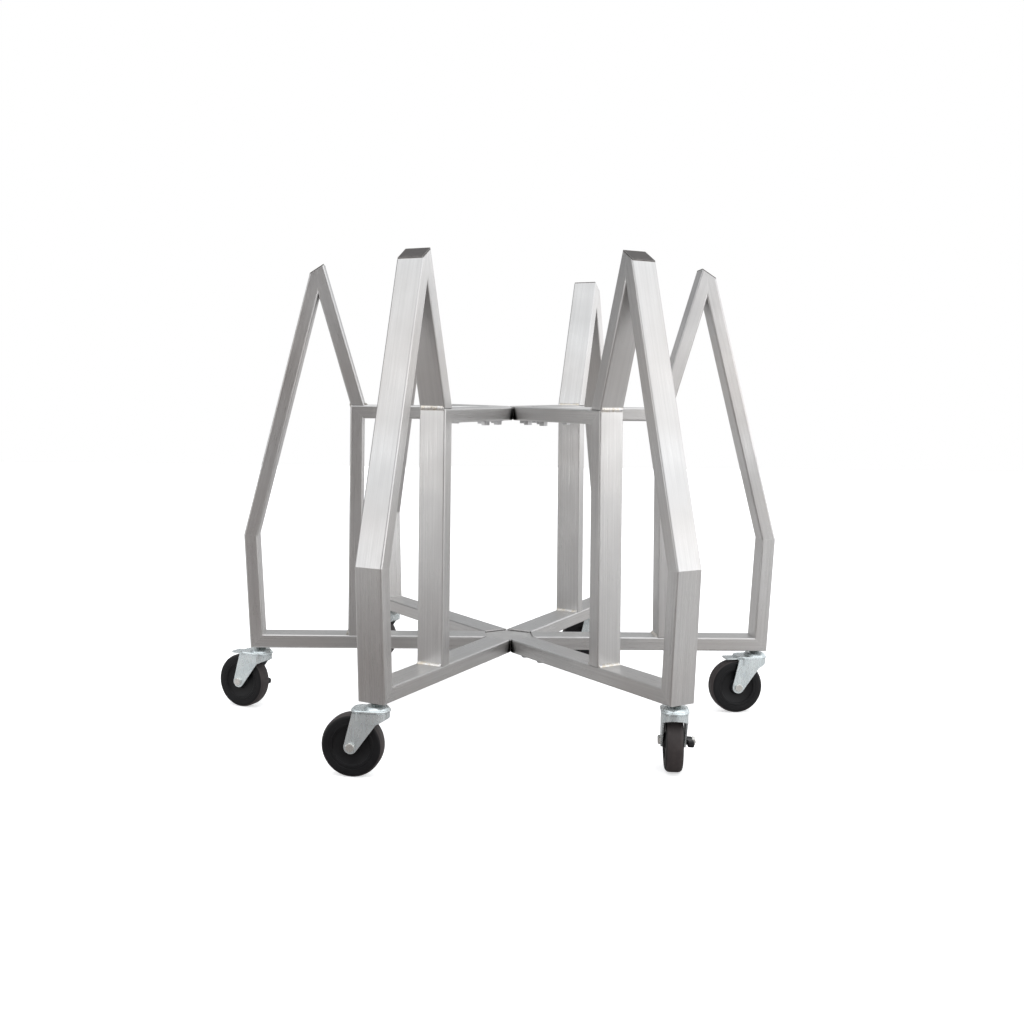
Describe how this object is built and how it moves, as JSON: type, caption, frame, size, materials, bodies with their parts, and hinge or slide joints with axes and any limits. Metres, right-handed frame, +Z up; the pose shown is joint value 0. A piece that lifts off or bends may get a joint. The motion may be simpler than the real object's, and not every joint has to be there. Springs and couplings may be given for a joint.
{
  "type": "drum dolly",
  "caption": "Star-shaped drum dolly of bent rectangular tube: radial arms on hub plates, leaning guide frames that cradle a drum, and swivel casters, some with a brake lever.",
  "frame": {"origin": "the centre of the upper hub plate's top face, on the dolly's vertical centre axis, just below the arms' tops that the drum stands on", "axes": "+Z up the centre axis; +X along the arm of frame 1; frames are numbered anticlockwise seen from above"},
  "size_m": [1.0636, 0.9151, 0.8503],
  "materials": {
    "stainless_tube": "brushed along the tube",
    "hub_plate": "dull, machined",
    "hub_bolt_zinc": "zinc plated",
    "cap_plate": "ground, dark",
    "weld_bead": "bright rippled weld",
    "zinc_fork": "bright zinc plated",
    "axle_zinc": "bright zinc plated",
    "zinc_hardware": "dark plated thread",
    "tyre_rubber": "hard rubber, satin",
    "wheel_plastic": "moulded satin",
    "lever_plastic": "moulded satin"
  },
  "bodies": {
    "frame": {"lower_arm_1": "stainless_tube", "upper_arm_1": "stainless_tube", "outer_post_1": "stainless_tube", "inner_post_1": "stainless_tube", "lower_arm_2": "stainless_tube", "upper_arm_2": "stainless_tube", "outer_post_2": "stainless_tube", "inner_post_2": "stainless_tube", "lower_arm_3": "stainless_tube", "upper_arm_3": "stainless_tube", "outer_post_3": "stainless_tube", "inner_post_3": "stainless_tube", "lower_arm_4": "stainless_tube", "upper_arm_4": "stainless_tube", "outer_post_4": "stainless_tube", "inner_post_4": "stainless_tube", "lower_arm_5": "stainless_tube", "upper_arm_5": "stainless_tube", "outer_post_5": "stainless_tube", "inner_post_5": "stainless_tube", "lower_arm_6": "stainless_tube", "upper_arm_6": "stainless_tube", "outer_post_6": "stainless_tube", "inner_post_6": "stainless_tube", "outer_guides": "stainless_tube", "inner_guides": "stainless_tube", "apex_caps": "cap_plate", "weld_beads": "weld_bead", "hub_lower": "hub_plate", "hub_upper": "hub_plate", "hub_bolts": "hub_bolt_zinc", "caster_stems": "zinc_hardware", "stem_nuts": "zinc_hardware"},
    "swivel_1": {"fork_1": "zinc_fork", "axle_1": "axle_zinc"},
    "wheel_1": {"tyre_1": "tyre_rubber", "wheel_core_1": "wheel_plastic"},
    "brake_1": {"brake_lever_1": "lever_plastic"},
    "swivel_2": {"fork_2": "zinc_fork", "axle_2": "axle_zinc"},
    "wheel_2": {"tyre_2": "tyre_rubber", "wheel_core_2": "wheel_plastic"},
    "swivel_3": {"fork_3": "zinc_fork", "axle_3": "axle_zinc"},
    "wheel_3": {"tyre_3": "tyre_rubber", "wheel_core_3": "wheel_plastic"},
    "swivel_4": {"fork_4": "zinc_fork", "axle_4": "axle_zinc"},
    "wheel_4": {"tyre_4": "tyre_rubber", "wheel_core_4": "wheel_plastic"},
    "brake_4": {"brake_lever_4": "lever_plastic"},
    "swivel_5": {"fork_5": "zinc_fork", "axle_5": "axle_zinc"},
    "wheel_5": {"tyre_5": "tyre_rubber", "wheel_core_5": "wheel_plastic"},
    "swivel_6": {"fork_6": "zinc_fork", "axle_6": "axle_zinc"},
    "wheel_6": {"tyre_6": "tyre_rubber", "wheel_core_6": "wheel_plastic"},
    "brake_6": {"brake_lever_6": "lever_plastic"}
  },
  "joints": [
    {"name": "swivel_turn_1", "type": "hinge", "parent": "frame", "child": "swivel_1", "pos_m": [0.475, 0, -0.4717], "axis": [0, 0, 1], "continuous": true},
    {"name": "wheel_roll_1", "type": "hinge", "parent": "swivel_1", "child": "wheel_1", "pos_m": [0.43717, -0.00364, -0.5297], "axis": [0.0958, -0.9954, 0], "continuous": true},
    {"name": "brake_lever_turn_1", "type": "hinge", "parent": "swivel_1", "child": "brake_1", "pos_m": [0.43474, 0.02159, -0.5297], "axis": [0.0958, -0.9954, 0], "range_deg": [-16, 93]},
    {"name": "swivel_turn_2", "type": "hinge", "parent": "frame", "child": "swivel_2", "pos_m": [0.2375, 0.41136, -0.4717], "axis": [0, 0, 1], "continuous": true},
    {"name": "wheel_roll_2", "type": "hinge", "parent": "swivel_2", "child": "wheel_2", "pos_m": [0.19959, 0.41401, -0.5297], "axis": [-0.0698, -0.9976, 0], "continuous": true},
    {"name": "swivel_turn_3", "type": "hinge", "parent": "frame", "child": "swivel_3", "pos_m": [-0.2375, 0.41136, -0.4717], "axis": [0, 0, 1], "continuous": true},
    {"name": "wheel_roll_3", "type": "hinge", "parent": "swivel_3", "child": "wheel_3", "pos_m": [-0.27041, 0.43036, -0.5297], "axis": [-0.5, -0.866, 0], "continuous": true},
    {"name": "swivel_turn_4", "type": "hinge", "parent": "frame", "child": "swivel_4", "pos_m": [-0.475, 0, -0.4717], "axis": [0, 0, 1], "continuous": true},
    {"name": "wheel_roll_4", "type": "hinge", "parent": "swivel_4", "child": "wheel_4", "pos_m": [-0.50871, 0.01755, -0.5297], "axis": [-0.4617, -0.887, 0], "continuous": true},
    {"name": "brake_lever_turn_4", "type": "hinge", "parent": "swivel_4", "child": "brake_4", "pos_m": [-0.497, 0.04003, -0.5297], "axis": [-0.4617, -0.887, 0], "range_deg": [-2, 107]},
    {"name": "swivel_turn_5", "type": "hinge", "parent": "frame", "child": "swivel_5", "pos_m": [-0.2375, -0.41136, -0.4717], "axis": [0, 0, 1], "continuous": true},
    {"name": "wheel_roll_5", "type": "hinge", "parent": "swivel_5", "child": "wheel_5", "pos_m": [-0.2748, -0.40411, -0.5297], "axis": [-0.1908, -0.9816, 0], "continuous": true},
    {"name": "swivel_turn_6", "type": "hinge", "parent": "frame", "child": "swivel_6", "pos_m": [0.2375, -0.41136, -0.4717], "axis": [0, 0, 1], "continuous": true},
    {"name": "wheel_roll_6", "type": "hinge", "parent": "swivel_6", "child": "wheel_6", "pos_m": [0.24213, -0.37365, -0.5297], "axis": [-0.9925, 0.1219, 0], "continuous": true},
    {"name": "brake_lever_turn_6", "type": "hinge", "parent": "swivel_6", "child": "brake_6", "pos_m": [0.26729, -0.37673, -0.5297], "axis": [-0.9925, 0.1219, 0], "range_deg": [-16, 93]}
  ]
}
